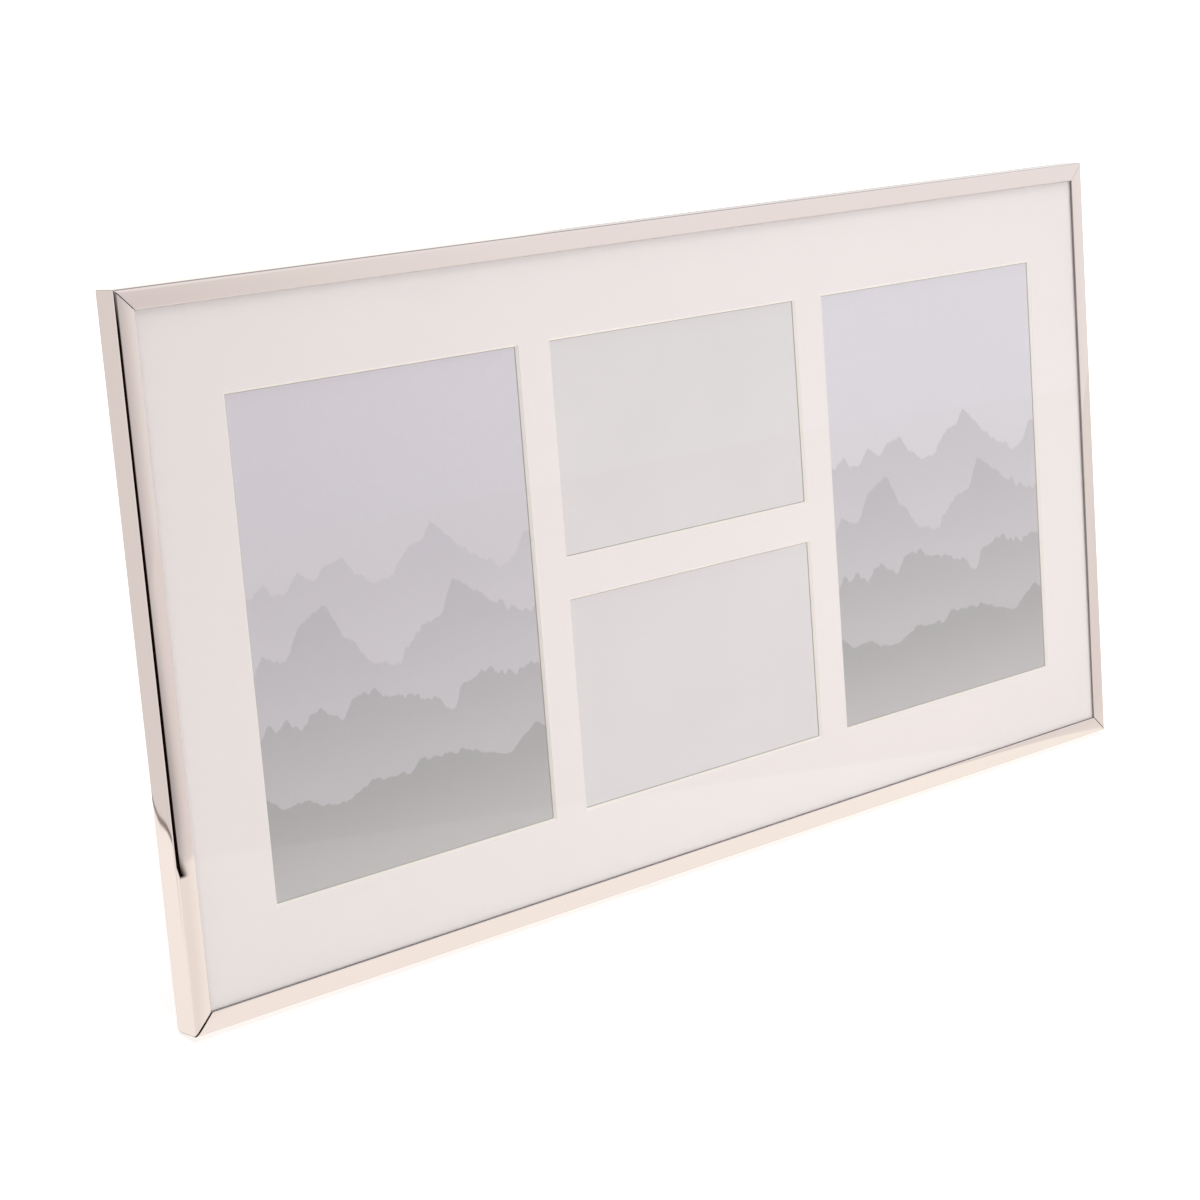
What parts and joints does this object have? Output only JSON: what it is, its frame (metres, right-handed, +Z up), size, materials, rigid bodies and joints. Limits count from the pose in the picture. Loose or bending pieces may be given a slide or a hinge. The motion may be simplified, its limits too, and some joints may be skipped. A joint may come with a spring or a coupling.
{
  "type": "collage photo frame",
  "caption": "Landscape collage photo frame with polished metal rails, glass, a bevelled white mat, a board back with turn buttons, wall hangers and an easel strut.",
  "frame": {"origin": "on the floor, at the middle of the standing frame's bounding box", "axes": "+X along the width, to the right as seen from the front, +Y to the back, +Z up; the picture faces -Y and leans back"},
  "size_m": [0.465, 0.066, 0.2405],
  "materials": {
    "polished_nickel": "mirror polished nickel plate on an aluminium extrusion",
    "zinc_plated_steel": "stamped, zinc plated",
    "black_oxide_steel": "black oxide",
    "bright_steel_wire": "drawn, bright plated",
    "nickel_plated_rivets": "nickel plated, formed heads",
    "clear_glass": "clear float glass, ground edges",
    "mat_board": "smooth white surface paper, cream core at the bevels",
    "tall_print_paper": "satin photo paper with a soft grey print",
    "small_print_paper": "satin light grey paper",
    "grey_card": "plain grey board",
    "black_faced_fibreboard": "fibreboard faced with fine-grained black paper, brown sawn edges"
  },
  "bodies": {
    "frame": {"rail_top": "polished_nickel", "rail_bottom": "polished_nickel", "rail_left": "polished_nickel", "rail_right": "polished_nickel", "corner_key_bottom_left": "zinc_plated_steel", "corner_key_bottom_right": "zinc_plated_steel", "corner_key_top_left": "zinc_plated_steel", "corner_key_top_right": "zinc_plated_steel", "corner_key_screws": "black_oxide_steel", "glass": "clear_glass", "mat": "mat_board", "print_left": "tall_print_paper", "print_right": "tall_print_paper", "print_upper": "small_print_paper", "print_lower": "small_print_paper", "insert_card": "grey_card", "back_board": "black_faced_fibreboard", "turn_button_rivets": "nickel_plated_rivets", "hinge_plate": "zinc_plated_steel", "hinge_pin": "bright_steel_wire", "hinge_rivets": "nickel_plated_rivets", "hanger_strap_left": "zinc_plated_steel", "hanger_strap_right": "zinc_plated_steel", "hanger_rivets": "nickel_plated_rivets"},
    "strut": {"strut": "black_faced_fibreboard", "strut_leaf": "zinc_plated_steel", "strut_rivets": "nickel_plated_rivets"},
    "turn_button_top_left": {"turn_button_top_left": "zinc_plated_steel"},
    "turn_button_top_right": {"turn_button_top_right": "zinc_plated_steel"},
    "turn_button_bottom_left": {"turn_button_bottom_left": "zinc_plated_steel"},
    "turn_button_bottom_right": {"turn_button_bottom_right": "zinc_plated_steel"},
    "turn_button_left": {"turn_button_left": "zinc_plated_steel"},
    "turn_button_right": {"turn_button_right": "zinc_plated_steel"},
    "hanger_ring_left": {"hanger_ring_left": "bright_steel_wire"},
    "hanger_ring_right": {"hanger_ring_right": "bright_steel_wire"}
  },
  "joints": [
    {"name": "strut_hinge", "type": "hinge", "parent": "frame", "child": "strut", "pos_m": [0, 0.00674, 0.18263], "axis": [-1, 0, 0], "range_deg": [0, 16]},
    {"name": "turn_button_top_left_turn", "type": "hinge", "parent": "frame", "child": "turn_button_top_left", "pos_m": [-0.15, 0.01094, 0.22353], "axis": [0, 0.9877, -0.1564], "continuous": true},
    {"name": "turn_button_top_right_turn", "type": "hinge", "parent": "frame", "child": "turn_button_top_right", "pos_m": [0.15, 0.01094, 0.22353], "axis": [0, 0.9877, -0.1564], "continuous": true},
    {"name": "turn_button_bottom_left_turn", "type": "hinge", "parent": "frame", "child": "turn_button_bottom_left", "pos_m": [-0.15, -0.02193, 0.01602], "axis": [0, 0.9877, -0.1564], "continuous": true},
    {"name": "turn_button_bottom_right_turn", "type": "hinge", "parent": "frame", "child": "turn_button_bottom_right", "pos_m": [0.15, -0.02193, 0.01602], "axis": [0, 0.9877, -0.1564], "continuous": true},
    {"name": "turn_button_left_turn", "type": "hinge", "parent": "frame", "child": "turn_button_left", "pos_m": [-0.21655, -0.0055, 0.11977], "axis": [0, 0.9877, -0.1564], "continuous": true},
    {"name": "turn_button_right_turn", "type": "hinge", "parent": "frame", "child": "turn_button_right", "pos_m": [0.21655, -0.0055, 0.11977], "axis": [0, 0.9877, -0.1564], "continuous": true},
    {"name": "hanger_ring_left_swing", "type": "hinge", "parent": "frame", "child": "hanger_ring_left", "pos_m": [-0.1, 0.00895, 0.20152], "axis": [1, 0, 0], "range_deg": [-8, 170]},
    {"name": "hanger_ring_right_swing", "type": "hinge", "parent": "frame", "child": "hanger_ring_right", "pos_m": [0.1, 0.00895, 0.20152], "axis": [1, 0, 0], "range_deg": [-8, 170]}
  ]
}
